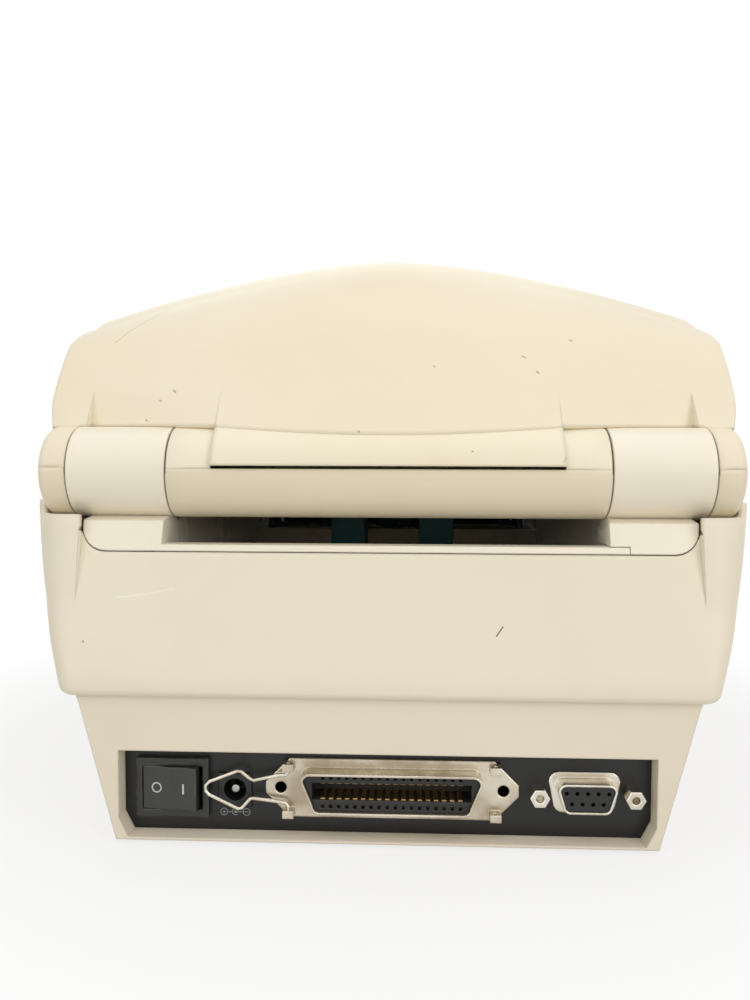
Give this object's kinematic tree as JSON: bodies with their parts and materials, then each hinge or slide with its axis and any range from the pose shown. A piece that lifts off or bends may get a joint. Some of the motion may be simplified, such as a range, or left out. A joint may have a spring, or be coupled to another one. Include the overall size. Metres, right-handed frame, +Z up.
{
  "type": "thermal label printer",
  "caption": "Desktop thermal label printer with a domed lid hinged at its rear, a connector panel, sliding roll holders and guides, a geared platen and a pivoting print head.",
  "frame": {"origin": "on the table under the middle of the casing's width and depth", "axes": "+Z up, +Y to the rear where the connectors are, +X to the viewer's left when looking at the rear"},
  "size_m": [0.201, 0.2191, 0.173],
  "materials": {
    "ivory": "fine textured",
    "ivory_light": "fine textured",
    "steel": "bright zinc",
    "frame_grey": "glass filled",
    "rubber": "matte",
    "black": "satin",
    "teal": "satin",
    "tin": "dull tin plate",
    "board": "solder mask",
    "brass": "gold plate",
    "aluminium": "plain",
    "ceramic": "glazed ceramic",
    "nylon": "natural",
    "lens": "clear green"
  },
  "bodies": {
    "base": {"base_tray": "ivory", "rubber_feet": "rubber", "case_screws": "steel", "connector_panel": "black", "main_board": "board", "board_chips": "black", "board_capacitors": "black", "board_screws": "steel", "switch_housing": "black", "power_jack": "black", "power_jack_pin": "steel", "ribbon_port_shell": "tin", "ribbon_port_core": "black", "ribbon_port_contacts": "brass", "serial_port_shell": "steel", "serial_port_core": "black", "jackscrews": "steel", "body_shell": "ivory", "media_bay": "ivory_light", "hinge_block": "ivory_light", "bay_screws": "steel", "platen_bushes": "nylon", "stepper_motor": "steel", "motor_plate": "steel", "motor_screws": "steel", "label_sensor": "black", "button_board": "board", "status_lens": "lens", "lever_pins": "steel"},
    "lid": {"lid_shell": "ivory", "lid_frame": "frame_grey", "lid_screws": "steel", "latch_bar": "steel", "hinge_pins": "steel", "tear_bar": "steel", "head_springs": "steel"},
    "head": {"head_bracket": "aluminium", "print_head": "ceramic"},
    "rocker": {"power_rocker": "black"},
    "wire": {"retaining_wire": "steel"},
    "platen": {"platen_roller": "rubber", "platen_shaft": "steel", "platen_gear": "nylon"},
    "idler": {"idler_gear": "nylon"},
    "rotor": {"motor_pinion": "brass", "motor_shaft": "steel"},
    "guide_left": {"media_guide_left": "teal"},
    "guide_right": {"media_guide_right": "teal"},
    "wheel": {"guide_wheel": "teal"},
    "holder_left": {"roll_holder_left": "teal"},
    "holder_right": {"roll_holder_right": "teal"},
    "pinion": {"holder_pinion": "brass"},
    "button": {"feed_button": "frame_grey"},
    "lever_left": {"release_lever_left": "teal"},
    "lever_right": {"release_lever_right": "teal"}
  },
  "joints": [
    {"name": "lid_hinge", "type": "hinge", "parent": "base", "child": "lid", "pos_m": [0, 0.0865, 0.0998], "axis": [-1, 0, 0], "range_deg": [0, 95]},
    {"name": "head_pivot", "type": "hinge", "parent": "lid", "child": "head", "pos_m": [0, -0.064, 0.092], "axis": [-1, 0, 0], "range_deg": [0, 2.5], "stiffness_Nm_per_rad": 6, "springref_deg": -3.44, "deforming": ["head_springs"]},
    {"name": "rocker_tilt", "type": "hinge", "parent": "base", "child": "rocker", "pos_m": [0.0579, 0.1006, 0.0141], "axis": [0, 0, 1], "range_deg": [0, 16]},
    {"name": "wire_swing", "type": "hinge", "parent": "base", "child": "wire", "pos_m": [0.026, 0.1051, 0.0145], "axis": [0, 0, 1], "range_deg": [0, 120]},
    {"name": "platen_spin", "type": "hinge", "parent": "base", "child": "platen", "pos_m": [0, -0.082, 0.078], "axis": [1, 0, 0], "continuous": true},
    {"name": "idler_spin", "type": "hinge", "parent": "base", "child": "idler", "pos_m": [0, -0.07292, 0.06018], "axis": [1, 0, 0], "continuous": true},
    {"name": "motor_spin", "type": "hinge", "parent": "base", "child": "rotor", "pos_m": [0, -0.06611, 0.04681], "axis": [1, 0, 0], "continuous": true},
    {"name": "guide_left_slide", "type": "slide", "parent": "base", "child": "guide_left", "axis": [-1, 0, 0], "range_m": [0, 0.038]},
    {"name": "guide_right_slide", "type": "slide", "parent": "base", "child": "guide_right", "axis": [1, 0, 0], "range_m": [0, 0.038]},
    {"name": "guide_wheel_turn", "type": "hinge", "parent": "base", "child": "wheel", "pos_m": [0, -0.057, 0.07], "axis": [0, 0, 1], "range_deg": [0, 436]},
    {"name": "holder_left_slide", "type": "slide", "parent": "base", "child": "holder_left", "axis": [1, 0, 0], "range_m": [0, 0.036], "stiffness_N_per_m": 40, "springref_m": -0.03},
    {"name": "holder_right_slide", "type": "slide", "parent": "base", "child": "holder_right", "axis": [-1, 0, 0], "range_m": [0, 0.036]},
    {"name": "holder_pinion_turn", "type": "hinge", "parent": "base", "child": "pinion", "pos_m": [0, 0.011, 0.042], "axis": [0, 0, -1], "range_deg": [0, 413]},
    {"name": "feed_press", "type": "slide", "parent": "base", "child": "button", "axis": [0, 1, 0], "range_m": [0, 0.0012], "stiffness_N_per_m": 500, "springref_m": -0.001},
    {"name": "lever_left_tip", "type": "hinge", "parent": "base", "child": "lever_left", "pos_m": [0.0735, -0.044, 0.058], "axis": [1, 0, 0], "range_deg": [0, 10], "stiffness_Nm_per_rad": 0.3, "springref_deg": -11.46},
    {"name": "lever_right_tip", "type": "hinge", "parent": "base", "child": "lever_right", "pos_m": [-0.0735, -0.044, 0.058], "axis": [1, 0, 0], "range_deg": [0, 10], "stiffness_Nm_per_rad": 0.3, "springref_deg": -11.46}
  ],
  "couplings": [
    {"joint": "idler_spin", "follows": "platen_spin", "ratio": -1},
    {"joint": "motor_spin", "follows": "platen_spin", "ratio": 2},
    {"joint": "guide_right_slide", "follows": "guide_left_slide", "ratio": 1},
    {"joint": "guide_wheel_turn", "follows": "guide_left_slide", "rad_per_m": 200},
    {"joint": "holder_right_slide", "follows": "holder_left_slide", "ratio": 1},
    {"joint": "holder_pinion_turn", "follows": "holder_left_slide", "rad_per_m": 200}
  ]
}
